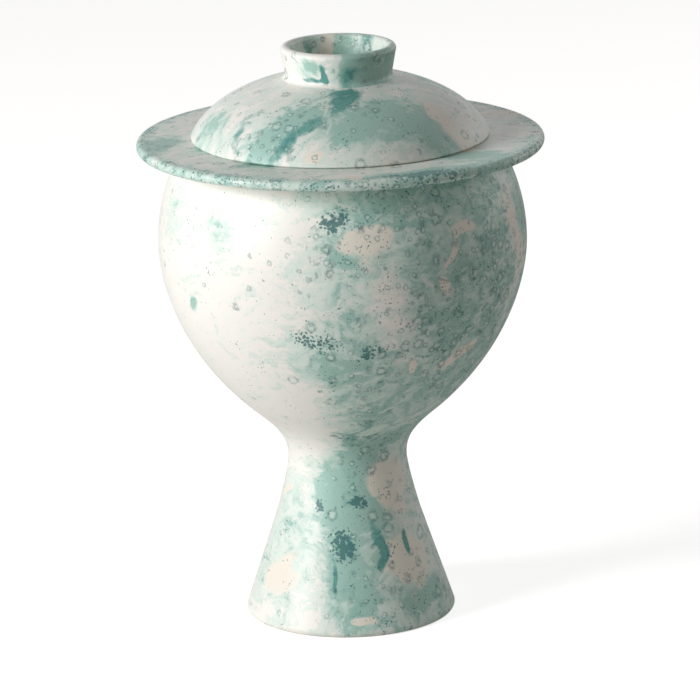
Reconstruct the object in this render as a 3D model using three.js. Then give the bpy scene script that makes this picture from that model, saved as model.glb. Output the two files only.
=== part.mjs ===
// A lidded, footed jar in splash-glazed earthenware: a round bowl on a flared hollow foot, a wide
// flat brim round its mouth, and a domed lid whose grip is an open ring.
//
// Each piece is thrown by itself on the wheel and luted to the next one with slip before firing.
// Millimetres, +Z up. The origin is the centre of the circle that the foot stands on.

import * as THREE from "three";

// Foot: a hollow flared pedestal, open underneath.
const footRadius = 53.0; // where the straight flank would meet the table
const footFlankRise = 50.0; // height of the straight flank
const footFlankLean = 0.3326; // how far the flank comes in for each millimetre of height
const footFlankHandle = 2.0; // curve handle where the flank starts to turn upright
const footEdgeRound = 2.4; // rounded lower edge
const footWall = 6.0;
const waistRadius = 29.5; // the narrowest place, where foot and bowl are luted
const waistHeight = 80.5;
const waistEase = 7.2; // how long the foot runs upright below the waist

// Bowl: a globe on a short concave neck.
const bowlRadius = 90.8;
const bowlRise = 109.5; // from the waist to the widest place
const flankRadius = 46.0; // where the full belly turns into the concave neck
const flankRise = 25.3; // height of that turn above the waist
const flankAngle = THREE.MathUtils.degToRad(39.9); // how steeply the wall climbs there
const bellyHandle = 20.0; // curve handles: roundness of the belly, flank and neck
const flankHandle = 45.1;
const neckHandle = 16.0;
const neckEase = 8.8;
const bowlWall = 6.0;
const bowlFloor = 10.0; // clay under the deepest place inside
const floorRadius = 16.0; // flat middle of the floor
const floorRise = 1.0; // least height at which the wall inside leaves the floor
const bowlHeight = 156.5; // from the waist to the brim's underside

// Brim: a flat ring on the bowl's mouth, with a bullnose outer edge.
const brimRadius = 100.0;
const brimThickness = 5.2;
const mouthLedge = 5.7; // how far the brim reaches in past the bowl's wall
const mouthEdgeRound = 1.6;

// Lid: a flattened dome whose rim rests on the brim.
const lidLap = 7.5; // how far the rim rests on the brim past the edge of the mouth
const domeRise = 31.9; // from the rim's plane to the top of the dome
const domeSpring = 7.5; // how far below the rim's plane the dome's curve would be upright
const domeWall = 5.0;
const lidSeatGap = 0.3; // running gap between the rim and the brim
const rimRound = 0.9;

// Grip: an open ring on the dome, wider at its lip.
const gripLipRadius = 28.3;
const gripRootRadius = 26.0;
const gripHeight = 13.5; // lip above the top of the dome
const gripWall = 4.8;
const lutedGap = 0.3; // slip seam between the dome and the rings luted to it

// Locating ring under the lid, which drops into the mouth.
const spigotClearance = 1.5; // between the ring and the mouth, all round
const spigotWall = 4.8;
const spigotDepth = 9.0; // below the top of the brim
const spigotEdgeRound = 1.4;

const stepsAround = 48;
const footSteps = 5; // straight pieces that each curve is drawn with
const neckSteps = 5;
const bellySteps = 7;
const shoulderSteps = 4;
const domeSteps = 10;
const noseSteps = 6;
const edgeSteps = 2;
const quarterTurn = Math.PI / 2;

const bellyHeight = waistHeight + bowlRise;
const flankHeight = waistHeight + flankRise;
const brimUnderside = waistHeight + bowlHeight;
const brimTop = brimUnderside + brimThickness;
const rimHeight = brimTop + lidSeatGap;
const domeCentreHeight = rimHeight - domeSpring;
const domeTopHeight = rimHeight + domeRise;
const lipHeight = domeTopHeight + gripHeight;
const shoulderRadius = Math.sqrt(bowlRadius ** 2 - (brimUnderside - bellyHeight) ** 2);
const mouthRadius = shoulderRadius - bowlWall - mouthLedge;
const lidRadius = mouthRadius + lidLap;
const spigotRadius = mouthRadius - spigotClearance;

function point(radius, height) {
  return new THREE.Vector2(radius, height);
}

// Points along a cubic curve between two profile points, without its first point.
function curve(start, startHandle, endHandle, end, steps) {
  return new THREE.CubicBezierCurve(start, startHandle, endHandle, end).getPoints(steps).slice(1);
}

// Points on a circular arc in the profile, from one angle to another.
function arc(centreRadius, centreHeight, round, fromAngle, toAngle, steps) {
  const points = [];
  for (let i = 0; i <= steps; i += 1) {
    const angle = fromAngle + ((toAngle - fromAngle) * i) / steps;
    const radius = centreRadius + round * Math.cos(angle);
    points.push(point(radius, centreHeight + round * Math.sin(angle)));
  }
  return points;
}

// A profile moved sideways off its own line by a wall's thickness, to the left of its direction.
function offset(profile, wall) {
  return profile.map((here, i) => {
    const before = profile[Math.max(i - 1, 0)];
    const after = profile[Math.min(i + 1, profile.length - 1)];
    const along = after.clone().sub(before).normalize();
    return point(here.x - wall * along.y, here.y + wall * along.x);
  });
}

// The profile turned about the vertical axis, as clay is on the wheel.
function turned(name, profile, material) {
  const geometry = new THREE.LatheGeometry(profile, stepsAround);
  geometry.rotateX(quarterTurn);
  const mesh = new THREE.Mesh(geometry, material);
  mesh.name = name;
  return mesh;
}

// The dome's outer surface, a flattened ellipse, and the same curve moved inwards by some depth.
function domeHeightAt(radius, depth) {
  const upright = domeRise + domeSpring;
  const reach = lidRadius / Math.sqrt(1 - (domeSpring / upright) ** 2);
  const share = radius / (reach - depth);
  return domeCentreHeight + (upright - depth) * Math.sqrt(Math.max(0, 1 - share * share));
}

function domeRadiusAt(height, depth) {
  const upright = domeRise + domeSpring;
  const reach = lidRadius / Math.sqrt(1 - (domeSpring / upright) ** 2);
  const share = (height - domeCentreHeight) / (upright - depth);
  return (reach - depth) * Math.sqrt(Math.max(0, 1 - share * share));
}

// Outer line of the foot from the waist down to the table.
function footOutline() {
  const flankTop = point(footRadius - footFlankLean * footFlankRise, footFlankRise);
  const flankHandleEnd = point(flankTop.x - footFlankLean * footFlankHandle, flankTop.y + footFlankHandle);
  const waist = point(waistRadius, waistHeight);
  const waistHandle = point(waistRadius, waistHeight - waistEase);
  const lean = Math.atan(footFlankLean);
  const edgeCentre = footRadius - footFlankLean * footEdgeRound - footEdgeRound / Math.cos(lean);
  return [
    waist,
    ...curve(waist, waistHandle, flankHandleEnd, flankTop, footSteps),
    ...arc(edgeCentre, footEdgeRound, footEdgeRound, lean, -quarterTurn, 2 * edgeSteps),
  ];
}

// The wall keeps its thickness all the way down, and stands on a flat ring.
function foot(material) {
  const outside = footOutline();
  const wallLine = outside.slice(0, footSteps + 2);
  const inside = offset(wallLine, -footWall).slice(0, -1).reverse();
  inside[inside.length - 1].set(waistRadius - footWall, waistHeight);
  const ringInner = point(footRadius - footWall / Math.cos(Math.atan(footFlankLean)), 0);
  const profile = [...outside, ringInner, ...inside, outside[0].clone()];
  return turned("foot", profile.reverse(), material);
}

// Outer line of the bowl from the waist up to the brim's underside.
function bowlOutline() {
  const waist = point(waistRadius, waistHeight);
  const flank = point(flankRadius, flankHeight);
  const climb = point(Math.cos(flankAngle), Math.sin(flankAngle));
  const belly = point(bowlRadius, bellyHeight);
  const neckStart = point(waistRadius, waistHeight + neckEase);
  const neckEnd = flank.clone().addScaledVector(climb, -neckHandle);
  const flankStart = flank.clone().addScaledVector(climb, flankHandle);
  const bellyEnd = point(bowlRadius, bellyHeight - bellyHandle);
  const shoulder = Math.asin((brimUnderside - bellyHeight) / bowlRadius);
  return [
    waist,
    ...curve(waist, neckStart, neckEnd, flank, neckSteps),
    ...curve(flank, flankStart, bellyEnd, belly, bellySteps),
    ...arc(0, bellyHeight, bowlRadius, 0, shoulder, shoulderSteps).slice(1),
  ];
}

// The wall follows the outer line down to a thick floor over the foot.
function bowl(material) {
  const outside = bowlOutline();
  const floorHeight = waistHeight + bowlFloor;
  const lowest = floorHeight + floorRise;
  const inside = offset(outside, bowlWall).filter((p) => p.y > lowest && p.x > floorRadius);
  inside[inside.length - 1].y = brimUnderside;
  const profile = [
    point(0, waistHeight),
    ...outside,
    ...inside.reverse(),
    point(floorRadius, floorHeight),
    point(0, floorHeight),
  ];
  return turned("bowl", profile, material);
}

function brim(material) {
  const nose = brimThickness / 2;
  const middle = brimUnderside + nose;
  const inner = mouthRadius + mouthEdgeRound;
  const upper = brimTop - mouthEdgeRound;
  const lower = brimUnderside + mouthEdgeRound;
  const profile = [
    ...arc(brimRadius - nose, middle, nose, -quarterTurn, quarterTurn, noseSteps),
    ...arc(inner, upper, mouthEdgeRound, quarterTurn, 2 * quarterTurn, edgeSteps),
    ...arc(inner, lower, mouthEdgeRound, 2 * quarterTurn, 3 * quarterTurn, edgeSteps),
  ];
  profile.push(profile[0].clone());
  return turned("brim", profile, material);
}

// A shell between the dome's outer ellipse and the same ellipse one wall further in.
function lidDome(material) {
  const outside = [];
  const inside = [];
  const edgeHeight = rimHeight + rimRound;
  const outerRim = domeRadiusAt(edgeHeight, 0);
  const innerRim = domeRadiusAt(rimHeight, domeWall);
  for (let i = 1; i <= domeSteps; i += 1) {
    const share = Math.sin((quarterTurn * i) / domeSteps);
    outside.push(point(outerRim * share, domeHeightAt(outerRim * share, 0)));
    inside.push(point(innerRim * share, domeHeightAt(innerRim * share, domeWall)));
  }
  inside[inside.length - 1].y = rimHeight;
  const profile = [
    point(0, domeTopHeight),
    ...outside,
    ...arc(outerRim - rimRound, edgeHeight, rimRound, 0, -quarterTurn, edgeSteps).slice(1),
    ...inside.reverse(),
    point(0, domeTopHeight - domeWall),
  ];
  return turned("lid_dome", profile.reverse(), material);
}

// The grip is cut to the dome that it stands on.
function lidGrip(material) {
  const lipRound = gripWall / 2;
  const lipCentre = gripLipRadius - lipRound;
  const rootInner = gripRootRadius - gripWall;
  const seat = (radius) => point(radius, domeHeightAt(radius, 0) + lutedGap);
  const profile = [
    seat(gripRootRadius),
    ...arc(lipCentre, lipHeight - lipRound, lipRound, 0, 2 * quarterTurn, noseSteps),
    seat(rootInner),
    seat((rootInner + gripRootRadius) / 2),
  ];
  profile.push(profile[0].clone());
  return turned("lid_grip", profile, material);
}

// The locating ring is cut to the underside of the dome.
function lidSpigot(material) {
  const inner = spigotRadius - spigotWall;
  const round = spigotEdgeRound;
  const low = brimTop - spigotDepth + round;
  const seat = (radius) => point(radius, domeHeightAt(radius, domeWall) - lutedGap);
  const profile = [
    ...arc(inner + round, low, round, 2 * quarterTurn, 3 * quarterTurn, edgeSteps),
    ...arc(spigotRadius - round, low, round, 3 * quarterTurn, 4 * quarterTurn, edgeSteps),
    seat(spigotRadius),
    seat((inner + spigotRadius) / 2),
    seat(inner),
  ];
  profile.push(profile[0].clone());
  return turned("lid_locating_ring", profile, material);
}

// Matt white glaze washed with copper green, as an average of the splashes.
function glaze(colour) {
  return new THREE.MeshStandardMaterial({ color: colour, roughness: 0.45, metalness: 0 });
}

const jar = new THREE.Group();
jar.add(foot(glaze("#c3d6ce")));
jar.add(bowl(glaze("#bdd2c9")));
jar.add(brim(glaze("#a9c4bb")));

const lid = new THREE.Group();
lid.add(lidDome(glaze("#b7cec5")));
lid.add(lidGrip(glaze("#c6d6d0")));
lid.add(lidSpigot(glaze("#e6e3da")));

const root = new THREE.Group();
root.add(jar, lid);

export default root;
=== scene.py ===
"""Dresses the lidded footed jar: hand-thrown earthenware under a white glaze splashed with copper green.

Every piece is a surface of revolution on the jar's own axis. Its glaze is laid on in two steps:
broad fields, worked out with numpy for each vertex, say where the green wash, the dark pools, the
cream patches, the burst bubbles and the specks lie, and shader nodes draw their detail.
"""

import itertools
import math

import bpy
import numpy as np
from mathutils import Matrix, Vector


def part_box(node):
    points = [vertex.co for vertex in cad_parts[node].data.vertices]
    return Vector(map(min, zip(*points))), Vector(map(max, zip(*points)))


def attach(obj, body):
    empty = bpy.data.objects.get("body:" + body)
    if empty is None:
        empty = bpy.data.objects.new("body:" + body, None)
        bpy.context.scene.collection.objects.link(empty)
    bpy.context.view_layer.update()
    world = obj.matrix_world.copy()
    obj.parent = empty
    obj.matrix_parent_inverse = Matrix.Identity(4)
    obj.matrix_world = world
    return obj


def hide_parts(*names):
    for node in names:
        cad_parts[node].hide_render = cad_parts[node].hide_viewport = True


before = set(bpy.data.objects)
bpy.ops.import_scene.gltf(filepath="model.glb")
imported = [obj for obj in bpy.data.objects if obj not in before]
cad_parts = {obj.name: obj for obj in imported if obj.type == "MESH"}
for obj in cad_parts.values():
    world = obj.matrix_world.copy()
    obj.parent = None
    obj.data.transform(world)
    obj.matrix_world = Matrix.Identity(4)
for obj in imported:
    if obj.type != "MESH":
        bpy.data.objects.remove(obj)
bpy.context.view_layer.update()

bl_info = {
    "name": "Splash-glazed lidded jar",
    "version": (1, 0, 0),
    "blender": (4, 5, 0),
    "location": "3D View > Sidebar > Jar",
    "description": "Dresses a footed jar and its lid in splashed earthenware glaze",
    "category": "Object",
}

MM = 0.001
TURN_STEPS = 512
SHARP_ANGLE = math.radians(38)

# The foot: its rounded lower edge and chamfered sole, how long it runs upright below the waist,
# and the handle that leads its straight flank into that curve.
FOOT_EDGE_ROUND = 2.4 * MM
SOLE_CHAMFER = 0.6 * MM
FOOT_WAIST_EASE = 7.2 * MM
FOOT_FLANK_HANDLE = 2 * MM

# The bowl: where its belly turns into the neck, above the waist, how steeply the wall climbs
# there, the handles of the curves on both sides, and the clay and the flat under its floor.
FLANK_RADIUS = 46.0 * MM
FLANK_RISE = 25.3 * MM
FLANK_ANGLE = math.radians(39.9)
NECK_EASE = 8.8 * MM
NECK_HANDLE = 16 * MM
FLANK_HANDLE = 45.1 * MM
BELLY_HANDLE = 20 * MM
BOWL_FLOOR = 10 * MM
FLOOR_RADIUS = 16 * MM

# The brim and the lid: rounded edges, the dome's curve and its underside, which meets the plane
# of the rim at the inner rim, and the ring below it with its seam of slip.
MOUTH_EDGE_ROUND = 1.6 * MM
LID_RIM_ROUND = 0.9 * MM
LID_RADIUS = 73.5 * MM
LID_INNER_RIM = 69.3 * MM
DOME_SPRING = 7.5 * MM
DOME_WALL = 5.0 * MM
RING_WALL = 4.8 * MM
RING_EDGE_ROUND = 1.4 * MM
LUTED_GAP = 0.3 * MM


def linear(code):
    """An sRGB hex colour as the linear red, green and blue that Blender works in."""
    values = np.array([int(code[i : i + 2], 16) for i in (1, 3, 5)]) / 255
    bright = ((values + 0.055) / 1.055) ** 2.4
    return tuple(float(v) for v in np.where(values <= 0.04045, values / 12.92, bright))


def box_radius(node):
    """The largest radius of a CAD node, from its box."""
    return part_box(node)[1].x


class JarSizes(bpy.types.PropertyGroup):
    """Sizes of the thrown pieces that the CAD boxes don't give."""

    foot_lean: bpy.props.FloatProperty(
        name="Foot lean", description="How far the foot's flank comes in for its height", default=0.3326
    )
    foot_radius: bpy.props.FloatProperty(
        name="Foot radius",
        description="Where the flank would meet the table",
        default=53.0 * MM,
        unit="LENGTH",
    )
    foot_straight: bpy.props.FloatProperty(
        name="Straight flank",
        description="Height of the foot's straight flank",
        default=50 * MM,
        unit="LENGTH",
    )
    waist_radius: bpy.props.FloatProperty(
        name="Waist radius", description="The narrowest place", default=29.5 * MM, unit="LENGTH"
    )
    belly_height: bpy.props.FloatProperty(
        name="Belly height", description="Height of the bowl's widest place", default=190 * MM, unit="LENGTH"
    )
    wall: bpy.props.FloatProperty(
        name="Wall", description="Thickness of the thrown walls", default=6.0 * MM, unit="LENGTH"
    )
    mouth_radius: bpy.props.FloatProperty(
        name="Mouth radius", description="Opening inside the brim", default=66 * MM, unit="LENGTH"
    )
    dome_wall: bpy.props.FloatProperty(
        name="Dome wall", description="Thickness of the lid's dome", default=DOME_WALL, unit="LENGTH"
    )
    grip_root: bpy.props.FloatProperty(
        name="Grip root",
        description="Radius of the grip where it meets the dome",
        default=26 * MM,
        unit="LENGTH",
    )
    grip_wall: bpy.props.FloatProperty(
        name="Grip wall", description="Thickness of the grip ring", default=4.8 * MM, unit="LENGTH"
    )


class GlazeColours(bpy.types.PropertyGroup):
    """Colours of the fired glaze and the bare clay."""

    ground: bpy.props.FloatVectorProperty(
        name="Ground", description="White tin glaze", subtype="COLOR", default=linear("#f7f4ee")
    )
    thin_wash: bpy.props.FloatVectorProperty(
        name="Thin wash",
        description="Copper green where it lies thin",
        subtype="COLOR",
        default=linear("#dcebe2"),
    )
    full_wash: bpy.props.FloatVectorProperty(
        name="Full wash",
        description="Copper green at full strength",
        subtype="COLOR",
        default=linear("#a6cbc0"),
    )
    pool: bpy.props.FloatVectorProperty(
        name="Pool", description="Copper green where it pooled", subtype="COLOR", default=linear("#62a098")
    )
    speck: bpy.props.FloatVectorProperty(
        name="Speck", description="Undissolved copper", subtype="COLOR", default=linear("#2f6b6c")
    )
    blush: bpy.props.FloatVectorProperty(
        name="Blush",
        description="Cream where the clay warms the glaze",
        subtype="COLOR",
        default=linear("#f2ece0"),
    )
    clay: bpy.props.FloatVectorProperty(
        name="Clay", description="Bare biscuit under the foot", subtype="COLOR", default=linear("#d8b594")
    )


class StudioLight(bpy.types.PropertyGroup):
    """Levels of the lamps. A white wall facing the key lamp renders at about its own colour."""

    key_level: bpy.props.FloatProperty(
        name="Key", description="Light on a wall that faces the key lamp", default=0.86
    )
    fill_level: bpy.props.FloatProperty(name="Fill", description="Light from all round", default=0.125)
    edge_level: bpy.props.FloatProperty(
        name="Edge", description="Light from behind on the right", default=0.14
    )


def arc(centre, radius, start, end, count):
    """Points (r, z) on a circle: the centre plus the radius times (cos a, sin a), a from start to end."""
    angle = np.linspace(start, end, count)
    return np.stack([centre[0] + radius * np.cos(angle), centre[1] + radius * np.sin(angle)], axis=1)


def bezier(a, b, c, d, count):
    """Points on a cubic: the four corners weighted by the Bernstein polynomials of t."""
    t = np.linspace(0, 1, count)[:, None]
    a, b, c, d = (np.array(p, dtype=float) for p in (a, b, c, d))
    return (1 - t) ** 3 * a + 3 * t * (1 - t) ** 2 * b + 3 * t * t * (1 - t) * c + t**3 * d


def offset(line, distance):
    """The same line moved square to itself: each point plus the distance times its left normal."""
    along = np.gradient(line, axis=0)
    along /= np.linalg.norm(along, axis=1)[:, None]
    return line + distance * np.stack([-along[:, 1], along[:, 0]], axis=1)


def spread(line, spacing):
    """The line with points at even spacing along its length, its ends kept."""
    length = np.concatenate([[0], np.cumsum(np.linalg.norm(np.diff(line, axis=0), axis=1))])
    count = max(3, int(round(length[-1] / spacing)) + 1)
    at = np.linspace(0, length[-1], count)
    return np.stack([np.interp(at, length, line[:, 0]), np.interp(at, length, line[:, 1])], axis=1)


def join(*lines):
    """Lines end to end, with a point that two of them share kept once."""
    points = np.concatenate(lines)
    step = np.linalg.norm(np.diff(points, axis=0), axis=1)
    return points[np.concatenate([[True], step > 1e-7])]


def turned(name, profile, closed):
    """A mesh made by turning a profile: (r, z) at angle a goes to (r sin a, -r cos a, z).

    A closed profile is a loop off the axis. An open one starts and ends on the axis, and its
    two poles are single vertices.
    """
    rows = len(profile)
    inner = profile if closed else profile[1:-1]
    angle = np.arange(TURN_STEPS) * (2 * np.pi / TURN_STEPS)
    around = np.stack([np.sin(angle), -np.cos(angle)], axis=1)
    flat = inner[:, 0, None, None] * around[None]
    high = np.broadcast_to(inner[:, 1, None, None], (len(inner), TURN_STEPS, 1))
    points = np.concatenate([flat, high], axis=2).reshape(-1, 3)
    here = np.arange(len(inner) if closed else len(inner) - 1)
    above = (here + 1) % len(inner)
    column = np.arange(TURN_STEPS)
    beside = (column + 1) % TURN_STEPS
    a = here[:, None] * TURN_STEPS + column
    b = here[:, None] * TURN_STEPS + beside
    c = above[:, None] * TURN_STEPS + beside
    d = above[:, None] * TURN_STEPS + column
    quads = np.stack([a, b, c, d], axis=2).reshape(-1, 4)
    loop = np.concatenate([profile, profile[:1]])
    area = np.sum(loop[:-1, 0] * loop[1:, 1] - loop[1:, 0] * loop[:-1, 1])
    fans = np.zeros((0, 3), dtype=int)
    if not closed:
        first = len(points)
        last = first + 1
        top = (rows - 3) * TURN_STEPS
        points = np.concatenate([points, [[0, 0, profile[0, 1]], [0, 0, profile[-1, 1]]]])
        start = np.stack([np.full(TURN_STEPS, first), beside, column], axis=1)
        end = np.stack([top + column, top + beside, np.full(TURN_STEPS, last)], axis=1)
        fans = np.concatenate([start, end])
    if area < 0:
        quads, fans = quads[:, ::-1], fans[:, ::-1]
    mesh = bpy.data.meshes.new(name)
    mesh.from_pydata(points, [], quads.tolist() + fans.tolist())
    mesh.shade_smooth()
    mesh.set_sharp_from_angle(angle=SHARP_ANGLE)
    piece = bpy.data.objects.new(name, mesh)
    bpy.context.scene.collection.objects.link(piece)
    return piece


def lattice_noise(points, seed):
    """A smooth random value from -1 to 1: hashed numbers on the corners of unit cells, eased between."""
    cell = np.floor(points).astype(np.int64)
    part = points - cell
    ease = part * part * (3 - 2 * part)
    total = np.zeros(len(points))
    mask = np.uint64(0xFFFFFFFF)
    primes = np.array([73856093, 19349663, 83492791], dtype=np.int64)
    for corner in itertools.product((0, 1), repeat=3):
        code = ((cell + corner) * primes).sum(axis=1) + seed * 40503
        code = code.astype(np.uint64) & mask
        for factor in (2246822519, 3266489917):
            code = ((code ^ (code >> np.uint64(15))) * np.uint64(factor)) & mask
        value = (code ^ (code >> np.uint64(16))).astype(float) / 2**31 - 1
        total += np.prod(np.where(corner, ease, 1 - ease), axis=1) * value
    return total


def smooth(value, low, high):
    """0 below low, 1 above high and an even ease between."""
    t = np.clip((value - low) / (high - low), 0, 1)
    return t * t * (3 - 2 * t)


# Dabs on the walls: field, azimuth from the front in degrees, height, width and length in mm,
# turn in degrees, amount.
WALL_DABS = (
    ("wash", -66, 215, 42, 34, 0, 0.26),
    ("wash", -42, 211, 17, 24, 20, 0.5),
    ("wash", -54, 174, 5, 9, 0, 0.9),
    ("wash", -14, 150, 50, 26, 0, 0.35),
    ("wash", 16, 172, 24, 44, 12, -0.5),
    ("wash", 70, 200, 15, 60, 0, -0.6),
    ("blush", 8, 209, 26, 15, 15, 0.85),
    ("blush", 39, 210, 24, 8, 0, 1.0),
    ("blush", 33, 199, 7, 15, -20, 0.9),
    ("blush", 34, 182, 8, 16, 25, 0.85),
    ("blush", 42, 146, 28, 8, 35, 0.95),
    ("blush", 22, 142, 6, 9, 20, 0.9),
    ("blush", 12, 188, 22, 40, 30, 0.55),
    ("blush", 70, 205, 12, 50, 0, 0.85),
    ("blush", -20, 188, 20, 30, 0, 0.5),
    ("deep", -3, 218, 12, 11, 0, 0.45),
    ("specks", -3, 218, 14, 12, 0, 1.0),
    ("specks", -12, 160, 22, 10, 10, 0.7),
    ("specks", 5, 155, 14, 8, 0, 0.7),
    ("rings", -6, 206, 14, 14, 0, 1.0),
    ("rings", 58, 186, 42, 80, 0, 1.0),
    ("rings", 22, 216, 50, 22, 0, 0.7),
    ("rings", 28, 160, 40, 50, 0, 0.6),
    ("rings", 6, 98, 34, 8, 0, 1.2),
    ("deep", 52, 205, 22, 26, 0, 0.42),
    ("deep", 30, 165, 18, 10, -25, 0.4),
    ("deep", 4, 104, 44, 18, 0, 0.55),
    ("deep", -14, 138, 34, 8, 0, 0.35),
    ("blush", -66, 66, 15, 6, 0, 0.7),
    ("blush", -50, 27, 26, 22, 20, 0.85),
    ("blush", 44, 73, 26, 24, -20, 1.0),
    ("blush", 44, 34, 30, 40, 0, 0.95),
    ("blush", 9, 9, 16, 5, 0, 0.8),
    ("wash", 6, 66, 30, 50, 0, 0.7),
    ("wash", 2, 22, 26, 34, 0, 0.6),
    ("wash", 55, 12, 30, 13, 0, 0.7),
    ("wash", -50, 40, 50, 64, 0, 0.26),
    ("deep", 8, 66, 12, 46, 8, 0.5),
    ("deep", 0, 43, 14, 13, 0, 0.5),
    ("specks", 0, 43, 12, 12, 0, 1.05),
    ("specks", 14, 63, 6, 6, 0, 1.2),
    ("specks", -18, 57, 6, 6, 0, 1.2),
    ("deep", 24, 42, 5, 32, 0, 0.95),
    ("deep", 45, 44, 5, 28, 0, 0.95),
    ("deep", -8, 30, 3, 16, 0, 0.8),
    ("deep", 2, 20, 15, 26, 0, 0.55),
    ("rings", -12, 17, 7, 7, 0, 1.3),
    ("wash", 118, 190, 60, 70, 0, 0.7),
    ("wash", 175, 150, 60, 40, 20, 0.65),
    ("wash", -140, 205, 46, 34, -20, 0.6),
    ("wash", -105, 130, 30, 22, 20, 0.4),
    ("deep", 150, 212, 22, 18, 0, 0.5),
    ("deep", -160, 110, 26, 20, 0, 0.5),
    ("specks", 128, 160, 12, 12, 0, 1.2),
    ("specks", -150, 200, 10, 10, 0, 1.2),
    ("rings", 140, 185, 70, 60, 0, 0.7),
    ("rings", -145, 200, 34, 24, 0, 0.9),
    ("blush", 165, 180, 30, 14, 25, 0.9),
    ("blush", 100, 150, 14, 30, 0, 0.8),
    ("wash", 150, 50, 34, 50, 0, 0.6),
    ("wash", -130, 30, 30, 30, 0, 0.5),
    ("deep", 140, 40, 6, 30, 0, 0.8),
    ("deep", -150, 34, 5, 24, 0, 0.8),
    ("specks", 165, 48, 10, 10, 0, 1.2),
)

# Dabs on the lid and the brim, seen from above: field, x, y, width and length in mm, turn in
# degrees, amount.
TOP_DABS = (
    ("deep", 0, -35, 18, 16, 30, 1.0),
    ("deep", -22, -56, 44, 9, 34, 0.8),
    ("deep", -48, -44, 40, 6, 40, 0.7),
    ("wash", -30, -52, 44, 18, 30, 0.75),
    ("wash", 10, -52, 40, 26, 12, 0.6),
    ("wash", -60, -24, 12, 22, 20, 0.5),
    ("wash", 40, -44, 44, 18, 0, 0.6),
    ("wash", 0, 40, 60, 30, 30, 0.6),
    ("wash", 46, 20, 24, 36, 0, 0.5),
    ("wash", -44, 26, 24, 24, 30, 0.35),
    ("deep", 20, 50, 34, 9, 25, 0.6),
    ("deep", 50, 8, 9, 26, 20, 0.5),
    ("blush", -11, -70, 13, 6, 0, 0.8),
    ("blush", 47, -36, 11, 12, 20, 0.9),
    ("blush", 60, -38, 18, 14, 0, 0.75),
    ("blush", 30, -66, 40, 6, 12, 0.6),
    ("blush", -10, 62, 34, 8, 0, 0.7),
    ("rings", -28, -50, 44, 16, 25, 1.0),
    ("rings", 8, -44, 16, 10, 0, 1.1),
    ("rings", 20, 40, 60, 30, 0, 0.7),
    ("wash", -89, -12, 16, 30, 0, 0.8),
    ("deep", -90, -14, 10, 22, 0, 0.35),
    ("rings", -88, -12, 18, 26, 0, 1.1),
    ("wash", 70, -55, 26, 26, 0, 0.6),
    ("wash", 37, -84, 60, 12, 20, 0.8),
    ("specks", 37, -88, 40, 9, 20, 0.9),
    ("deep", 37, -90, 40, 8, 20, 0.4),
    ("wash", 0, 88, 70, 16, 0, 0.6),
    ("blush", 84, 42, 26, 16, 30, 0.9),
    ("blush", 92, -4, 10, 26, 0, 0.6),
    ("blush", 4, -96, 9, 10, 0, 1.2),
    ("wash", 4, -96, 9, 10, 0, -0.9),
    ("blush", -60, 60, 20, 20, 0, 0.6),
)

# Dabs on the grip ring: field, azimuth, height, width and length in mm, turn in degrees, amount.
GRIP_DABS = (
    ("wash", -30, 281, 14, 11, 0, 0.75),
    ("deep", -17, 279, 3.5, 11, 8, 1.0),
    ("deep", -30, 275.5, 14, 3, 0, 0.8),
    ("deep", 6, 278, 11, 18, 0, 0.75),
    ("wash", 6, 280, 18, 24, 0, 0.5),
    ("wash", 45, 280, 34, 20, 0, 0.45),
    ("deep", 42, 282, 24, 9, 0, 0.6),
    ("rings", 30, 280, 20, 16, 0, 0.5),
    ("wash", 150, 281, 30, 12, 0, 0.6),
    ("deep", 170, 279, 9, 12, 0, 0.8),
    ("deep", -140, 281, 8, 10, 0, 0.5),
)

# Dabs inside the grip's cup, seen from above: as TOP_DABS.
CUP_DABS = (
    ("deep", -15, 16, 12, 12, 0, 0.5),
    ("blush", -6, 21, 7, 14, 0, 0.9),
    ("wash", 2, 20, 10, 14, 0, 0.5),
    ("deep", 12, 18, 13, 12, 0, 0.75),
    ("rings", 12, 18, 14, 14, 0, 1.0),
    ("deep", -2, 4, 18, 14, 0, 0.9),
    ("blush", 12, 6, 12, 8, 20, 0.8),
)

FIELDS = ("wash", "deep", "blush", "rings", "specks", "bare")

# The smooth noise that moves the glaze: the size of its swirls, their reach in mm and a seed.
SWIRLS = ((26, 6.0, 11), (8, 2.2, 21))


def wandering(points):
    """The points moved by two sizes of smooth noise, which gives each dab a runny outline."""
    moved = points.copy()
    for axis in range(3):
        for size, reach, seed in SWIRLS:
            moved[:, axis] += reach * lattice_noise(points / size, seed + axis)
    return moved


def dab_strength(across, along, width, length, turn):
    """One in the middle of an ellipse and falling off smoothly: exp(-0.7 d^3.2), with d 1 at its edge."""
    c, s = math.cos(math.radians(turn)), math.sin(math.radians(turn))
    d2 = ((across * c + along * s) / (width / 2)) ** 2 + ((along * c - across * s) / (length / 2)) ** 2
    return np.exp(-(np.minimum(d2, 6) ** 1.6) * 0.7)


def add_wall_dabs(fields, points, dabs):
    """Adds dabs that lie on an upright wall: their width runs round the jar and their length up it."""
    radius = np.hypot(points[:, 0], points[:, 1])
    azimuth = np.arctan2(points[:, 0], -points[:, 1])
    for field, at, height, width, length, turn, amount in dabs:
        gap = (azimuth - math.radians(at) + np.pi) % (2 * np.pi) - np.pi
        strength = dab_strength(gap * radius, points[:, 2] - height, width, length, turn)
        fields[field] += amount * strength


def add_top_dabs(fields, points, dabs):
    """Adds dabs that are seen from above."""
    for field, x, y, width, length, turn, amount in dabs:
        strength = dab_strength(points[:, 0] - x, points[:, 1] - y, width, length, turn)
        fields[field] += amount * strength


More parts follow.
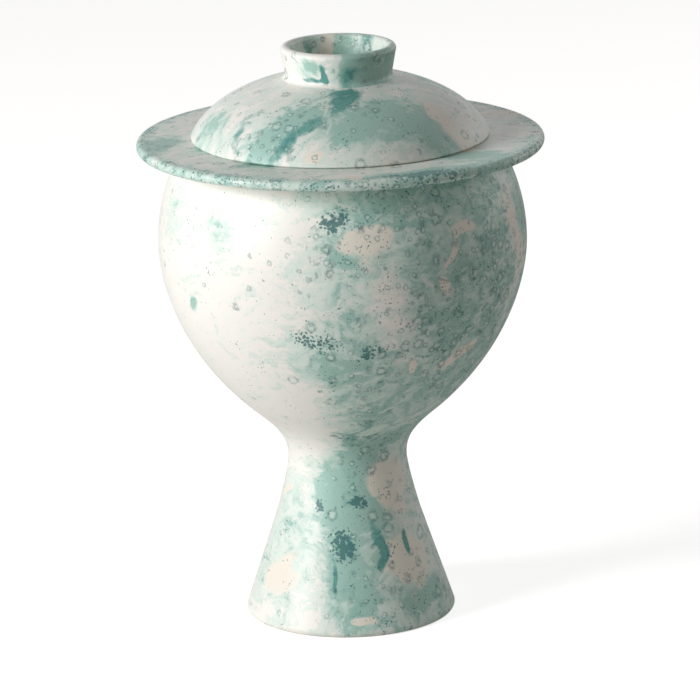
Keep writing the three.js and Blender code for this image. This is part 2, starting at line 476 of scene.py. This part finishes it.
def wall_fields(points):
    """Glaze on the foot and the bowl: white on the left of the front, green round the rest."""
    moved = wandering(points)
    azimuth = np.degrees(np.arctan2(moved[:, 0], -moved[:, 1]))
    green = smooth(azimuth, -26, 8) * (1 - 0.45 * smooth(azimuth, 80, 150))
    green += 0.5 * (1 - smooth(azimuth, -170, -125))
    low = smooth(moved[:, 2], 78, 96)
    fields = {field: np.zeros(len(points)) for field in FIELDS}
    fields["wash"] += 0.1 + 0.66 * green * (0.45 + 0.55 * low) + 0.12 * (1 - low)
    fields["rings"] += 0.02 + 0.34 * green
    fields["specks"] += 0.12 * green
    add_wall_dabs(fields, moved, WALL_DABS)
    return fields


def top_fields(points):
    """Glaze on the lid and the brim: a thin wash all over, splashed from the front left."""
    moved = wandering(points)
    fields = {field: np.zeros(len(points)) for field in FIELDS}
    radius = np.hypot(points[:, 0], points[:, 1])
    rim = smooth(radius, 90, 97)
    fields["wash"] += 0.34 + 0.34 * rim
    fields["rings"] += 0.12 + 0.55 * rim
    fields["specks"] += 0.05 + 0.3 * rim
    add_top_dabs(fields, moved, TOP_DABS)
    return fields


def grip_fields(points):
    """Glaze on the grip ring: nearly white on the left, dark green in front and on the right."""
    moved = points + 0.35 * (wandering(points) - points)
    fields = {field: np.zeros(len(points)) for field in FIELDS}
    azimuth = np.degrees(np.arctan2(moved[:, 0], -moved[:, 1]))
    fields["wash"] += 0.05 + 0.5 * smooth(azimuth, -14, 14)
    fields["rings"] += 0.12
    add_wall_dabs(fields, moved, GRIP_DABS)
    cup = {field: np.zeros(len(points)) for field in FIELDS}
    cup["wash"] += 0.45
    cup["rings"] += 0.3
    add_top_dabs(cup, moved, CUP_DABS)
    slope = np.interp(points[:, 2], (272, 286), (23.4, 25.7))
    return mixed(fields, cup, smooth(slope - np.hypot(points[:, 0], points[:, 1]), 0, 1))


def liner_fields(points):
    """Glaze inside the jar and the lid: white under the thinnest wash."""
    fields = {field: np.zeros(len(points)) for field in FIELDS}
    fields["wash"] += 0.1
    return fields


def mesh_points(piece):
    """The piece's vertices in millimetres, one row each."""
    flat = np.empty(len(piece.data.vertices) * 3)
    piece.data.vertices.foreach_get("co", flat)
    return flat.reshape(-1, 3) / MM


def brush_strokes(points, from_above):
    """Coordinates drawn out along the brush, in metres, so that noise on them makes streaks.

    On a wall the strokes run round the jar. Seen from above they climb to the right across the
    left half, then bend level: the stroke through (x, y) keeps y minus a bent line of x.
    """
    x, y, z = points.T
    if from_above:
        bend = 22.0
        line = 0.08 * x - 0.75 * bend * np.logaddexp(0, -x / bend)
        return np.stack([0.2 * x, y - line, 0.4 * z], axis=1) * MM
    lean = 0.12 * x
    return np.stack([0.22 * x, 0.22 * y, z - lean], axis=1) * MM


def lay_glaze(piece, fields, from_above):
    """Stores each field on the mesh as an attribute that the glaze material reads."""
    strokes = brush_strokes(mesh_points(piece), from_above)
    layer = piece.data.attributes.new("brushed", "FLOAT_VECTOR", "POINT")
    layer.data.foreach_set("vector", strokes.astype(np.float32).ravel())
    for field in FIELDS:
        layer = piece.data.attributes.new(field, "FLOAT", "POINT")
        layer.data.foreach_set("value", fields[field].astype(np.float32))


def mixed(outer, inner, share):
    """Two sets of fields blended, share of the inner one at each point."""
    return {field: outer[field] * (1 - share) + inner[field] * share for field in FIELDS}


def add(tree, kind, inputs=None, output=0, **settings):
    """Adds a node with its settings, fills or links its inputs, and returns one of its outputs."""
    node = tree.nodes.new(kind)
    for key, value in settings.items():
        setattr(node, key, value)
    for key, value in (inputs or {}).items():
        if isinstance(value, bpy.types.NodeSocket):
            tree.links.new(value, node.inputs[key])
        else:
            node.inputs[key].default_value = value
    return node.outputs[output] if node.outputs else None


def bubble_layer(tree, colour, coords, field, fray, colours, cell, amount):
    """Burst bubbles: a broken dark outline round a pale middle, a cell of so many metres apart.

    The ramp's stops are the distance from a bubble's middle, in cells, and how dark it is there.
    """
    voronoi = tree.nodes.new("ShaderNodeTexVoronoi")
    tree.links.new(coords, voronoi.inputs["Vector"])
    voronoi.inputs["Scale"].default_value = 1 / cell
    chance = add(tree, "ShaderNodeSeparateColor", {0: voronoi.outputs["Color"]})
    shown = add(tree, "ShaderNodeMath", {0: chance, 1: field}, operation="LESS_THAN")
    ramp = tree.nodes.new("ShaderNodeValToRGB")
    tree.links.new(voronoi.outputs["Distance"], ramp.inputs[0])
    stops = ((0.0, 0.0), (0.17, 0.0), (0.25, 1.0), (0.29, 0.85), (0.42, 0.0))
    while len(ramp.color_ramp.elements) < len(stops):
        ramp.color_ramp.elements.new(0.5)
    for element, (place, level) in zip(ramp.color_ramp.elements, stops):
        element.position = place
        element.color = (level, level, level, 1)
    broken = add(
        tree,
        "ShaderNodeMapRange",
        {"Value": fray, "From Min": 0.4, "From Max": 0.58, "To Min": 0.25, "To Max": 1.0},
    )
    outline = add(tree, "ShaderNodeMath", {0: ramp.outputs[0], 1: shown}, operation="MULTIPLY")
    outline = add(tree, "ShaderNodeMath", {0: outline, 1: broken}, operation="MULTIPLY")
    middle = add(
        tree,
        "ShaderNodeMapRange",
        {"Value": voronoi.outputs["Distance"], "From Min": 0.26, "From Max": 0.08, "To Max": 0.55},
    )
    pale = add(tree, "ShaderNodeMath", {0: middle, 1: shown}, operation="MULTIPLY")
    colour = add(
        tree, "ShaderNodeMix", {0: pale, 6: colour, 7: (*colours.thin_wash, 1)}, 2, data_type="RGBA"
    )
    strength = add(tree, "ShaderNodeMath", {0: outline, 1: amount}, operation="MULTIPLY")
    colour = add(
        tree, "ShaderNodeMix", {0: strength, 6: colour, 7: (*colours.speck, 1)}, 2, data_type="RGBA"
    )
    return colour, outline


def tide_line(tree, value, level, width, strength):
    """A soft line where a value crosses a level, as a drying wash leaves its colour at its edge."""
    away = add(tree, "ShaderNodeMath", {0: value, 1: level}, operation="SUBTRACT")
    away = add(tree, "ShaderNodeMath", {0: away}, operation="ABSOLUTE")
    return add(
        tree,
        "ShaderNodeMapRange",
        {"Value": away, "From Min": 0.0, "From Max": width, "To Min": strength, "To Max": 0.0},
        interpolation_type="SMOOTHSTEP",
    )


def pushed(tree, coords, size, reach):
    """Coordinates pushed about by noise of this size, by up to half the reach each way."""
    push = add(tree, "ShaderNodeTexNoise", {"Vector": coords, "Scale": 1 / size, "Detail": 3.0}, 1)
    push = add(tree, "ShaderNodeVectorMath", {0: push, 1: (0.5, 0.5, 0.5)}, operation="SUBTRACT")
    return add(tree, "ShaderNodeVectorMath", {0: push, 3: reach}, operation="SCALE")


def glaze_grains(tree, coords, brushed):
    """Noise of four kinds: runny clouds, finer drifts, streaks along the brush, and fine grain."""
    swirl = pushed(tree, coords, 28 * MM, 34 * MM)
    runny = add(tree, "ShaderNodeVectorMath", {0: coords, 1: swirl}, operation="ADD")
    streaked = add(tree, "ShaderNodeVectorMath", {0: brushed, 1: swirl}, operation="ADD")
    kinds = {
        "cloud": (runny, 17 * MM, 7.0, 0.6, 0.3),
        "drift": (runny, 9 * MM, 6.0, 0.62, 0.5),
        "brush": (streaked, 5.5 * MM, 5.0, 0.6, 0.3),
        "fine": (coords, 2.2 * MM, 5.0, 0.7, 0.0),
    }
    noise = {}
    for key, (vector, size, detail, roughness, distortion) in kinds.items():
        inputs = {
            "Vector": vector,
            "Scale": 1 / size,
            "Detail": detail,
            "Roughness": roughness,
            "Distortion": distortion,
        }
        noise[key] = add(tree, "ShaderNodeTexNoise", inputs)
    return noise


def glaze_covers(tree, field, noise):
    """Each layer's field frayed by the grains, and how far the layer covers there, from 0 to 1.

    A layer's row gives the grains and their weights, then where it starts and where it is full.
    The tone of the green comes from the same field as its wash.
    """
    layers = {
        "wash": ((("cloud", 1.0), ("brush", 1.3), ("fine", 0.2)), 0.1, 0.66),
        "tone": ((("drift", 1.6), ("brush", 1.3), ("cloud", -0.5), ("fine", 0.3)), 0.35, 1.0),
        "deep": ((("drift", 0.9), ("brush", 0.8), ("fine", 0.35)), 0.42, 0.9),
        "blush": ((("drift", 0.8), ("cloud", 0.7), ("fine", 0.15)), 0.42, 0.74),
    }
    frayed = {}
    cover = {}
    for key, (weights, low, high) in layers.items():
        total = field["wash" if key == "tone" else key]
        for grain, weight in weights:
            terms = {0: noise[grain], 1: weight, 2: -weight / 2}
            centred = add(tree, "ShaderNodeMath", terms, operation="MULTIPLY_ADD")
            total = add(tree, "ShaderNodeMath", {0: total, 1: centred}, operation="ADD")
        frayed[key] = total
        cover[key] = add(
            tree,
            "ShaderNodeMapRange",
            {"Value": total, "From Min": low, "From Max": high},
            interpolation_type="SMOOTHSTEP",
        )
    return frayed, cover


def speck_cover(tree, field, drift, coords):
    """Dots of undissolved copper 1.7 mm apart, which grow with their field."""
    dots = add(tree, "ShaderNodeTexVoronoi", {"Vector": coords, "Scale": 1 / (1.7 * MM)})
    grown = add(tree, "ShaderNodeMath", {0: field, 1: 0.62, 2: -0.36}, operation="MULTIPLY_ADD")
    grown = add(tree, "ShaderNodeMath", {0: drift, 1: 1.0, 2: grown}, operation="MULTIPLY_ADD")
    grown = add(tree, "ShaderNodeMath", {0: grown, 1: dots}, operation="SUBTRACT")
    return add(
        tree,
        "ShaderNodeMapRange",
        {"Value": grown, "From Min": 0.0, "From Max": 0.16, "To Max": 0.85},
        interpolation_type="SMOOTHSTEP",
    )


def splashed_glaze(name, colours):
    """Tin-white earthenware glaze splashed with copper green, dipped and fired to a satin face.

    To the eye it is soft and chalky rather than wet: broad dull highlights, watercolour edges on
    the green, pinpoint specks where the copper didn't dissolve, and rings where bubbles burst.
    """
    material = bpy.data.materials.new(name)
    material.use_nodes = True
    tree = material.node_tree
    tree.nodes.clear()
    coords = add(tree, "ShaderNodeTexCoord", output="Object")
    field = {key: add(tree, "ShaderNodeAttribute", output="Fac", attribute_name=key) for key in FIELDS}
    brushed = add(tree, "ShaderNodeAttribute", output="Vector", attribute_name="brushed")
    noise = glaze_grains(tree, coords, brushed)
    frayed, cover = glaze_covers(tree, field, noise)
    green = add(
        tree,
        "ShaderNodeMix",
        {0: cover["tone"], 6: (*colours.thin_wash, 1), 7: (*colours.full_wash, 1)},
        2,
        data_type="RGBA",
    )
    colour = add(
        tree, "ShaderNodeMix", {0: cover["wash"], 6: (*colours.ground, 1), 7: green}, 2, data_type="RGBA"
    )
    layers = (
        (tide_line(tree, frayed["wash"], 0.34, 0.035, 0.3), colours.full_wash),
        (tide_line(tree, frayed["tone"], 0.86, 0.04, 0.3), colours.pool),
        (cover["blush"], colours.blush),
        (tide_line(tree, frayed["blush"], 0.42, 0.04, 0.16), colours.full_wash),
        (cover["deep"], colours.pool),
        (tide_line(tree, frayed["deep"], 0.9, 0.07, 0.45), colours.speck),
    )
    for factor, tint in layers:
        colour = add(tree, "ShaderNodeMix", {0: factor, 6: colour, 7: (*tint, 1)}, 2, data_type="RGBA")
    jitter = pushed(tree, coords, 2.6 * MM, 2.6 * MM)
    ragged = add(tree, "ShaderNodeVectorMath", {0: coords, 1: jitter}, operation="ADD")
    fray = noise["fine"]
    colour, wide = bubble_layer(tree, colour, ragged, field["rings"], fray, colours, 8.5 * MM, 0.62)
    shifted = add(tree, "ShaderNodeMapping", {"Vector": ragged, "Location": (0.031, 0.017, 0.023)})
    colour, narrow = bubble_layer(tree, colour, shifted, field["rings"], fray, colours, 4.6 * MM, 0.6)
    speck = speck_cover(tree, field["specks"], noise["drift"], ragged)
    colour = add(
        tree, "ShaderNodeMix", {0: speck, 6: colour, 7: (*colours.speck, 1)}, 2, data_type="RGBA"
    )
    colour = add(
        tree, "ShaderNodeMix", {0: field["bare"], 6: colour, 7: (*colours.clay, 1)}, 2, data_type="RGBA"
    )
    rings = add(tree, "ShaderNodeMath", {0: wide, 1: narrow}, operation="ADD")
    relief = add(tree, "ShaderNodeMath", {0: noise["cloud"], 1: 1.5, 2: rings}, operation="MULTIPLY_ADD")
    bump = add(tree, "ShaderNodeBump", {"Strength": 0.4, "Distance": 0.2 * MM, "Height": relief})
    rough = add(
        tree,
        "ShaderNodeMapRange",
        {"Value": noise["drift"], "From Min": 0.3, "From Max": 0.7, "To Min": 0.36, "To Max": 0.48},
    )
    rough = add(tree, "ShaderNodeMath", {0: field["bare"], 1: 0.4, 2: rough}, operation="MULTIPLY_ADD")
    surface = add(
        tree,
        "ShaderNodeBsdfPrincipled",
        {"Base Color": colour, "Roughness": rough, "IOR": 1.5, "Normal": bump},
    )
    add(tree, "ShaderNodeOutputMaterial", {"Surface": surface})
    return material


def finish_piece(piece, body, node, fields, from_above=False):
    """Lays the glaze on a piece and seats it on its CAD body in place of its CAD node."""
    lay_glaze(piece, fields, from_above)
    material = bpy.data.materials.get("splashed_tin_glaze")
    if material is None:
        material = splashed_glaze("splashed_tin_glaze", bpy.context.scene.jar_colours)
    piece.data.materials.append(material)
    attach(piece, body)
    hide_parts(node)


def dome_line(radius, depth):
    """Height of the dome, an ellipse sprung a little below its rim, or of the same ellipse deeper in."""
    low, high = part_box("lid_dome")
    upright = high.z - low.z + DOME_SPRING
    reach = LID_RADIUS / math.sqrt(1 - (DOME_SPRING / upright) ** 2)
    share = np.clip(radius / (reach - depth), 0, 1)
    return low.z - DOME_SPRING + (upright - depth) * np.sqrt(1 - share**2)


class JAR_OT_foot(bpy.types.Operator):
    """Make the flared hollow foot"""

    bl_idname = "jar.foot"
    bl_label = "Foot"

    def execute(self, context):
        sizes = context.scene.jar_sizes
        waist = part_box("foot")[1].z
        straight = sizes.foot_straight
        lean = sizes.foot_lean
        slope = math.atan(lean)
        turn = FOOT_EDGE_ROUND
        top = sizes.foot_radius - lean * straight
        edge = sizes.foot_radius - lean * turn - turn / math.cos(slope)
        round_edge = arc((edge, turn), turn, -math.pi / 2, slope, 12)
        handle = (top - FOOT_FLANK_HANDLE * lean, straight + FOOT_FLANK_HANDLE)
        waist_handle = (sizes.waist_radius, waist - FOOT_WAIST_EASE)
        upper = bezier((top, straight), handle, waist_handle, (sizes.waist_radius, waist), 80)
        wall_line = join(round_edge[-1:], upper)
        outside = join(round_edge, spread(wall_line, 0.9 * MM))
        inner = offset(spread(wall_line, 2 * MM), sizes.wall)
        inner[-1] = (sizes.waist_radius - sizes.wall, waist)
        ring = sizes.foot_radius - sizes.wall / math.cos(slope)
        sole = np.array([[ring, SOLE_CHAMFER], [ring + SOLE_CHAMFER, 0]])
        inner = inner[inner[:, 1] > 1.5 * MM]
        profile = join(outside, inner[::-1], sole)
        piece = turned("glazed_foot", profile, closed=True)
        points = mesh_points(piece)
        radius = np.hypot(points[:, 0], points[:, 1])
        wall_radius = np.interp(points[:, 2], outside[:, 1] / MM, outside[:, 0] / MM)
        inside = smooth(wall_radius - radius, 2.0, 4.0)
        fields = mixed(wall_fields(points), liner_fields(points), inside)
        # The glaze is wiped off where the foot stands.
        fields["bare"] = 1 - smooth(points[:, 2], 0.25, 0.7)
        finish_piece(piece, "jar", "foot", fields)
        return {"FINISHED"}


class JAR_OT_bowl(bpy.types.Operator):
    """Make the round bowl on its short neck"""

    bl_idname = "jar.bowl"
    bl_label = "Bowl"

    def execute(self, context):
        sizes = context.scene.jar_sizes
        low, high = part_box("bowl")
        waist = (sizes.waist_radius, low.z)
        flank = np.array([FLANK_RADIUS, low.z + FLANK_RISE])
        climb = np.array([math.cos(FLANK_ANGLE), math.sin(FLANK_ANGLE)])
        belly = (box_radius("bowl"), sizes.belly_height)
        neck = bezier(waist, (waist[0], waist[1] + NECK_EASE), flank - NECK_HANDLE * climb, flank, 80)
        belly_handle = (belly[0], belly[1] - BELLY_HANDLE)
        side = bezier(flank, flank + FLANK_HANDLE * climb, belly_handle, belly, 160)
        shoulder = arc((0, belly[1]), belly[0], 0, math.asin((high.z - belly[1]) / belly[0]), 80)
        line = join(neck, side, shoulder)
        outside = spread(line, 1.5 * MM)
        floor = low.z + BOWL_FLOOR
        inner = offset(spread(line, 3 * MM), sizes.wall)
        inner = inner[(inner[:, 1] > floor + 1.5 * MM) & (inner[:, 0] > FLOOR_RADIUS)]
        inner[-1, 1] = high.z
        axis_floor = np.array([[14 * MM, floor + 0.15 * MM], [7 * MM, floor], [0, floor]])
        corner = bezier(inner[0], inner[0] - (3 * MM, 4 * MM), (18 * MM, floor + 0.6 * MM), axis_floor[0], 8)
        base = np.array([[0, low.z], [10 * MM, low.z], [20 * MM, low.z]])
        profile = join(base, outside, inner[::-1], corner, axis_floor)
        piece = turned("glazed_bowl", profile, closed=False)
        points = mesh_points(piece)
        radius = np.hypot(points[:, 0], points[:, 1])
        wall_radius = np.interp(points[:, 2], outside[:, 1] / MM, outside[:, 0] / MM)
        inside = smooth(wall_radius - radius, 2.0, 4.5)
        fields = mixed(wall_fields(points), liner_fields(points), inside)
        finish_piece(piece, "jar", "bowl", fields)
        return {"FINISHED"}


class JAR_OT_brim(bpy.types.Operator):
    """Make the wide flat brim"""

    bl_idname = "jar.brim"
    bl_label = "Brim"

    def execute(self, context):
        sizes = context.scene.jar_sizes
        low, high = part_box("brim")
        nose = (high.z - low.z) / 2
        outer = box_radius("brim")
        turn = MOUTH_EDGE_ROUND
        inner = sizes.mouth_radius + turn
        half = math.pi / 2
        edge = arc((outer - nose, low.z + nose), nose, -half, half, 24)
        top_inner = arc((inner, high.z - turn), turn, half, math.pi, 8)
        low_inner = arc((inner, low.z + turn), turn, math.pi, 3 * half, 8)
        top = spread(np.array([edge[-1], top_inner[0]]), 1.1 * MM)
        under = spread(np.array([low_inner[-1], edge[0]]), 2 * MM)
        profile = join(edge, top, top_inner, low_inner, under[:-1])
        piece = turned("glazed_brim", profile, closed=True)
        points = mesh_points(piece)
        fields = top_fields(points)
        ledge = sizes.mouth_radius / MM + 3.0
        hidden = smooth(ledge - np.hypot(points[:, 0], points[:, 1]), 0, 2)
        fields = mixed(fields, liner_fields(points), hidden)
        finish_piece(piece, "jar", "brim", fields, from_above=True)
        return {"FINISHED"}


class JAR_OT_lid_dome(bpy.types.Operator):
    """Make the domed lid"""

    bl_idname = "jar.lid_dome"
    bl_label = "Lid dome"

    def execute(self, context):
        sizes = context.scene.jar_sizes
        low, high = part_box("lid_dome")
        turn = LID_RIM_ROUND
        outer = box_radius("lid_dome")
        share = np.sin(np.linspace(0, math.pi / 2, 90))
        outside = np.stack([outer * share, dome_line(outer * share, 0)], axis=1)
        edge = arc((outer - turn, low.z + turn), turn, 0, -math.pi / 2, 8)
        outside[-1] = edge[0]
        inner_rim = LID_INNER_RIM - (sizes.dome_wall - DOME_WALL)
        share = np.sin(np.linspace(0, math.pi / 2, 50))
        inside = np.stack([inner_rim * share, dome_line(inner_rim * share, sizes.dome_wall)], axis=1)
        inside[-1, 1] = low.z
        profile = join(outside, edge, inside[::-1])
        profile[0, 0] = 0
        profile[-1, 0] = 0
        piece = turned("glazed_lid_dome", profile, closed=False)
        points = mesh_points(piece)
        radius = np.hypot(points[:, 0], points[:, 1])
        depth = dome_line(radius * MM, 0) / MM - points[:, 2]
        under = smooth(depth, 1.5, 3.5) * (1 - smooth(radius, 71, 72.5))
        fields = mixed(top_fields(points), liner_fields(points), under)
        finish_piece(piece, "lid", "lid_dome", fields, from_above=True)
        return {"FINISHED"}


class JAR_OT_lid_grip(bpy.types.Operator):
    """Make the open grip ring on the lid"""

    bl_idname = "jar.lid_grip"
    bl_label = "Lid grip"

    def execute(self, context):
        sizes = context.scene.jar_sizes
        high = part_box("lid_grip")[1]
        lip = box_radius("lid_grip")
        turn = sizes.grip_wall / 2
        centre = (lip - turn, high.z - turn)
        root = sizes.grip_root
        bore = root - sizes.grip_wall
        sunk = 0.5 * MM
        seat = float(dome_line(np.array(root), 0))
        # Slip worked into the corner leaves a small hollow curve at the foot of the ring, which is
        # sunk into the dome so that no seam shows.
        spread_out = 2.2 * MM
        skirt = (root + spread_out, float(dome_line(np.array(root + spread_out), 0)) - 0.1 * MM)
        wall_foot = (root + 0.25 * MM, seat + 2.6 * MM)
        flat_handle = (root + 0.9 * MM, seat + 0.1 * MM)
        steep_handle = (root + 0.1 * MM, seat + 0.8 * MM)
        fillet = bezier(skirt, flat_handle, steep_handle, wall_foot, 14)
        crown = arc(centre, turn, 0, math.pi, 30)
        floor = float(dome_line(np.array(bore), 0))
        inner_foot = (bore, floor + 2.0 * MM)
        inner_skirt = (bore - 2 * MM, float(dome_line(np.array(bore - 2 * MM), 0)) - 0.1 * MM)
        hollow = bezier(inner_foot, (bore, floor + 0.6 * MM), (bore - 0.6 * MM, floor), inner_skirt, 12)
        outer_wall = spread(np.array([wall_foot, crown[0]]), 0.6 * MM)
        inner_wall = spread(np.array([crown[-1], inner_foot]), 0.6 * MM)
        below = np.array([[bore - 2 * MM, inner_skirt[1] - sunk], [root + spread_out, skirt[1] - sunk]])
        profile = join(fillet, outer_wall, crown, inner_wall, hollow, below)
        piece = turned("glazed_lid_grip", profile, closed=True)
        points = mesh_points(piece)
        finish_piece(piece, "lid", "lid_grip", grip_fields(points))
        return {"FINISHED"}


class JAR_OT_locating_ring(bpy.types.Operator):
    """Make the locating ring under the lid"""

    bl_idname = "jar.locating_ring"
    bl_label = "Locating ring"

    def execute(self, context):
        low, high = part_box("lid_locating_ring")
        outer = high.x
        turn = RING_EDGE_ROUND
        inner = outer - RING_WALL
        depth = context.scene.jar_sizes.dome_wall - LUTED_GAP
        half = math.pi / 2
        start = arc((inner + turn, low.z + turn), turn, math.pi, 3 * half, 8)
        end = arc((outer - turn, low.z + turn), turn, -half, 0, 8)
        top = np.linspace(outer, inner, 5)
        seat = np.stack([top, dome_line(top, depth)], axis=1)
        rise = spread(np.array([end[-1], seat[0]]), 1.5 * MM)
        fall = spread(np.array([seat[-1], start[0]]), 1.5 * MM)
        profile = join(start, end, rise, seat, fall[:-1])
        piece = turned("glazed_locating_ring", profile, closed=True)
        fields = liner_fields(mesh_points(piece))
        finish_piece(piece, "lid", "lid_locating_ring", fields)
        return {"FINISHED"}


def lamp(name, azimuth, elevation, distance, size, level):
    """A square soft lamp aimed at the bowl. Its power is its level times (pi times distance) squared."""
    aim = Vector((0, 0, 0.17))
    a, e = math.radians(azimuth), math.radians(elevation)
    way = Vector((math.sin(a) * math.cos(e), -math.cos(a) * math.cos(e), math.sin(e)))
    data = bpy.data.lights.new(name, "AREA")
    data.size = size
    data.energy = level * (math.pi * distance) ** 2
    made = bpy.data.objects.new(name, data)
    made.location = aim + way * distance
    made.rotation_mode = "QUATERNION"
    made.rotation_quaternion = (-way).to_track_quat("-Z", "Y")
    bpy.context.scene.collection.objects.link(made)
    return made


def seen_directly(tree):
    """1 for rays from the camera, for reflections and for what is seen through glass, otherwise 0."""
    total = add(tree, "ShaderNodeLightPath", output="Is Camera Ray")
    for ray in ("Is Glossy Ray", "Is Transmission Ray"):
        part = add(tree, "ShaderNodeLightPath", output=ray)
        total = add(tree, "ShaderNodeMath", {0: total, 1: part}, operation="MAXIMUM")
    return total


def floor_material():
    """Matt white studio paper. To the camera it is lifted to white, and it keeps the jar's shadow."""
    material = bpy.data.materials.new("studio_paper")
    material.use_nodes = True
    tree = material.node_tree
    tree.nodes.clear()
    seen = add(tree, "ShaderNodeLightPath", output="Is Camera Ray")
    paper = add(tree, "ShaderNodeBsdfDiffuse", {"Color": (*linear("#f2f1ef"), 1)})
    lifted = add(tree, "ShaderNodeEmission", {"Color": (1, 1, 1, 1), "Strength": 0.74})
    both = add(tree, "ShaderNodeAddShader", {0: paper, 1: lifted})
    shown = add(tree, "ShaderNodeMixShader", {0: seen, 1: paper, 2: both})
    add(tree, "ShaderNodeOutputMaterial", {"Surface": shown})
    return material


def aim_camera():
    """The photograph's camera: where it stands in metres, how it leans in radians, and its lens."""
    place = (0, -2.4, 0.7847)
    pitch, roll, yaw = 0.2651, -0.0230, 0.0010
    forward = Vector(
        (math.sin(yaw) * math.cos(pitch), math.cos(yaw) * math.cos(pitch), -math.sin(pitch))
    )
    right = Vector((math.cos(yaw), -math.sin(yaw), 0))
    up = right.cross(forward)
    tilted_right = math.cos(roll) * right + math.sin(roll) * up
    tilted_up = -math.sin(roll) * right + math.cos(roll) * up
    data = bpy.data.cameras.new("camera")
    data.sensor_width = 36
    data.lens = 258.2
    data.clip_start, data.clip_end = 0.1, 50
    camera = bpy.data.objects.new("camera", data)
    bpy.context.scene.collection.objects.link(camera)
    turn = Matrix((tilted_right, tilted_up, -forward)).transposed()
    camera.matrix_world = Matrix.Translation(place) @ turn.to_4x4()
    bpy.context.scene.camera = camera


class JAR_OT_stage(bpy.types.Operator):
    """Set the floor, the lamps and the camera"""

    bl_idname = "jar.stage"
    bl_label = "Stage"

    def execute(self, context):
        aim_camera()
        light = context.scene.jar_light
        mesh = bpy.data.meshes.new("floor")
        far = 8.0
        corners = [(-far, -far, 0), (far, -far, 0), (far, far, 0), (-far, far, 0)]
        mesh.from_pydata(corners, [], [(0, 1, 2, 3)])
        floor = bpy.data.objects.new("floor", mesh)
        floor.data.materials.append(floor_material())
        context.scene.collection.objects.link(floor)
        lamp("key_lamp", azimuth=-62, elevation=20, distance=1.8, size=0.75, level=light.key_level)
        lamp("edge_lamp", azimuth=118, elevation=24, distance=1.8, size=1.0, level=light.edge_level)
        world = bpy.data.worlds.new("studio")
        context.scene.world = world
        world.use_nodes = True
        tree = world.node_tree
        tree.nodes.clear()
        seen = seen_directly(tree)
        warm = (*linear("#fffaf4"), 1)
        dim = add(tree, "ShaderNodeBackground", {"Color": warm, "Strength": light.fill_level})
        white = add(tree, "ShaderNodeBackground", {"Color": (1, 1, 1, 1), "Strength": 1.0})
        shown = add(tree, "ShaderNodeMixShader", {0: seen, 1: dim, 2: white})
        add(tree, "ShaderNodeOutputWorld", {"Surface": shown})
        context.scene.view_settings.view_transform = "Standard"
        return {"FINISHED"}


OPERATORS = (
    JAR_OT_stage,
    JAR_OT_foot,
    JAR_OT_bowl,
    JAR_OT_brim,
    JAR_OT_lid_dome,
    JAR_OT_lid_grip,
    JAR_OT_locating_ring,
)


class JAR_PT_panel(bpy.types.Panel):
    """Lists the jar's pieces in the sidebar"""

    bl_idname = "JAR_PT_panel"
    bl_label = "Splash-glazed jar"
    bl_space_type = "VIEW_3D"
    bl_region_type = "UI"
    bl_category = "Jar"

    def draw(self, context):
        for operator in OPERATORS:
            self.layout.operator(operator.bl_idname)


CLASSES = (JarSizes, GlazeColours, StudioLight, *OPERATORS, JAR_PT_panel)


def register():
    """Registers the classes and hangs the settings on the scene."""
    for cls in CLASSES:
        bpy.utils.register_class(cls)
    bpy.types.Scene.jar_sizes = bpy.props.PointerProperty(type=JarSizes)
    bpy.types.Scene.jar_colours = bpy.props.PointerProperty(type=GlazeColours)
    bpy.types.Scene.jar_light = bpy.props.PointerProperty(type=StudioLight)


def unregister():
    """Takes the settings and the classes away again."""
    del bpy.types.Scene.jar_sizes
    del bpy.types.Scene.jar_colours
    del bpy.types.Scene.jar_light
    for cls in reversed(CLASSES):
        bpy.utils.unregister_class(cls)


def main():
    register()
    bpy.ops.jar.stage()
    bpy.ops.jar.foot()
    bpy.ops.jar.bowl()
    bpy.ops.jar.brim()
    bpy.ops.jar.lid_dome()
    bpy.ops.jar.lid_grip()
    bpy.ops.jar.locating_ring()


if __name__ == "__main__":
    main()
